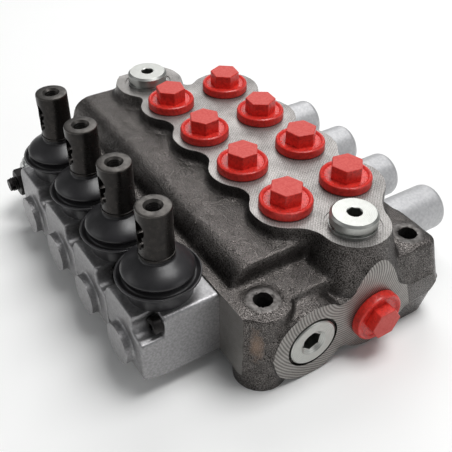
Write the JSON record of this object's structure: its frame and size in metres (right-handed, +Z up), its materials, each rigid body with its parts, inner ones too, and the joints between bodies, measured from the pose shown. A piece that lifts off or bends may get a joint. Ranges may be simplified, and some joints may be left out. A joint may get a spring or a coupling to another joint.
{
  "type": "hydraulic directional control valve",
  "caption": "Monoblock hydraulic control valve: cast body, scalloped port deck, hand-lever linkages with rubber boots in front and spring caps behind.",
  "frame": {"origin": "on the base plane, midway between the eight work ports", "axes": "+X along the row of sections towards the end with the sunk plug, +Y from the levers towards the spring caps, +Z up"},
  "size_m": [0.212, 0.184, 0.0865],
  "materials": {
    "cast_body": "sand-cast skin, machined deck and faces",
    "red_plastic": "moulded, satin",
    "bright_steel": "turned and zinc plated",
    "black_steel": "black oxide",
    "boot_rubber": "moulded rubber with a soft sheen",
    "cast_aluminium": "die-cast, tumbled",
    "chromed_steel": "ground and hard chromed",
    "spring_steel": "drawn wire, oiled"
  },
  "bodies": {
    "root": {"valve_body": "cast_body", "front_port_plugs": "red_plastic", "rear_port_plugs": "red_plastic", "near_side_plug": "red_plastic", "far_side_plug": "red_plastic", "near_top_plug": "bright_steel", "far_top_plug": "bright_steel", "top_plug_washers": "bright_steel", "check_plug": "bright_steel", "relief_cartridge": "bright_steel", "pivot_pin_1": "bright_steel", "pivot_pin_2": "bright_steel", "pivot_pin_3": "bright_steel", "pivot_pin_4": "bright_steel", "relief_lock_nut": "black_steel", "relief_adjuster": "black_steel", "box_screws": "black_steel", "cap_screws": "black_steel", "spool_seals": "boot_rubber", "lever_boot_1": "boot_rubber", "lever_boot_2": "boot_rubber", "lever_boot_3": "boot_rubber", "lever_boot_4": "boot_rubber", "lever_box_1": "cast_aluminium", "lever_box_2": "cast_aluminium", "lever_box_3": "cast_aluminium", "lever_box_4": "cast_aluminium", "spring_cap_1": "cast_aluminium", "spring_cap_2": "cast_aluminium", "spring_cap_3": "cast_aluminium", "spring_cap_4": "cast_aluminium", "check_spring": "spring_steel", "relief_spring": "spring_steel"},
    "spool_body_1": {"spool_1": "chromed_steel", "inner_seat_1": "bright_steel", "outer_seat_1": "bright_steel", "spool_bolt_1": "bright_steel", "centring_spring_1": "spring_steel"},
    "lever_body_1": {"control_lever_1": "black_steel"},
    "spool_body_2": {"spool_2": "chromed_steel", "inner_seat_2": "bright_steel", "outer_seat_2": "bright_steel", "spool_bolt_2": "bright_steel", "centring_spring_2": "spring_steel"},
    "lever_body_2": {"control_lever_2": "black_steel"},
    "spool_body_3": {"spool_3": "chromed_steel", "inner_seat_3": "bright_steel", "outer_seat_3": "bright_steel", "spool_bolt_3": "bright_steel", "centring_spring_3": "spring_steel"},
    "lever_body_3": {"control_lever_3": "black_steel"},
    "spool_body_4": {"spool_4": "chromed_steel", "inner_seat_4": "bright_steel", "outer_seat_4": "bright_steel", "spool_bolt_4": "bright_steel", "centring_spring_4": "spring_steel"},
    "lever_body_4": {"control_lever_4": "black_steel"},
    "check_poppet_body": {"check_poppet": "chromed_steel"},
    "relief_poppet_body": {"relief_poppet": "chromed_steel"}
  },
  "joints": [
    {"name": "spool_1_slide", "type": "slide", "parent": "root", "child": "spool_body_1", "axis": [0, 1, 0], "range_m": [-0.0053, 0.0053], "stiffness_N_per_m": 4000},
    {"name": "lever_1_hinge", "type": "hinge", "parent": "root", "child": "lever_body_1", "pos_m": [-0.0525, -0.0815, 0.0386], "axis": [1, 0, 0], "range_deg": [-17, 17], "deforming": ["lever_boot_1"]},
    {"name": "spool_2_slide", "type": "slide", "parent": "root", "child": "spool_body_2", "axis": [0, 1, 0], "range_m": [-0.0053, 0.0053], "stiffness_N_per_m": 4000},
    {"name": "lever_2_hinge", "type": "hinge", "parent": "root", "child": "lever_body_2", "pos_m": [-0.0175, -0.0815, 0.0386], "axis": [1, 0, 0], "range_deg": [-17, 17], "deforming": ["lever_boot_2"]},
    {"name": "spool_3_slide", "type": "slide", "parent": "root", "child": "spool_body_3", "axis": [0, 1, 0], "range_m": [-0.0053, 0.0053], "stiffness_N_per_m": 4000},
    {"name": "lever_3_hinge", "type": "hinge", "parent": "root", "child": "lever_body_3", "pos_m": [0.0175, -0.0815, 0.0386], "axis": [1, 0, 0], "range_deg": [-17, 17], "deforming": ["lever_boot_3"]},
    {"name": "spool_4_slide", "type": "slide", "parent": "root", "child": "spool_body_4", "axis": [0, 1, 0], "range_m": [-0.0053, 0.0053], "stiffness_N_per_m": 4000},
    {"name": "lever_4_hinge", "type": "hinge", "parent": "root", "child": "lever_body_4", "pos_m": [0.0525, -0.0815, 0.0386], "axis": [1, 0, 0], "range_deg": [-17, 17], "deforming": ["lever_boot_4"]},
    {"name": "check_poppet_slide", "type": "slide", "parent": "root", "child": "check_poppet_body", "axis": [1, 0, 0], "range_m": [0, 0.003], "stiffness_N_per_m": 300, "deforming": ["check_spring"]},
    {"name": "relief_poppet_slide", "type": "slide", "parent": "root", "child": "relief_poppet_body", "axis": [0, -1, 0], "range_m": [0, 0.002], "stiffness_N_per_m": 600, "deforming": ["relief_spring"]}
  ],
  "couplings": [
    {"joint": "lever_1_hinge", "follows": "spool_1_slide", "rad_per_m": 55.556},
    {"joint": "lever_2_hinge", "follows": "spool_2_slide", "rad_per_m": 55.556},
    {"joint": "lever_3_hinge", "follows": "spool_3_slide", "rad_per_m": 55.556},
    {"joint": "lever_4_hinge", "follows": "spool_4_slide", "rad_per_m": 55.556}
  ]
}
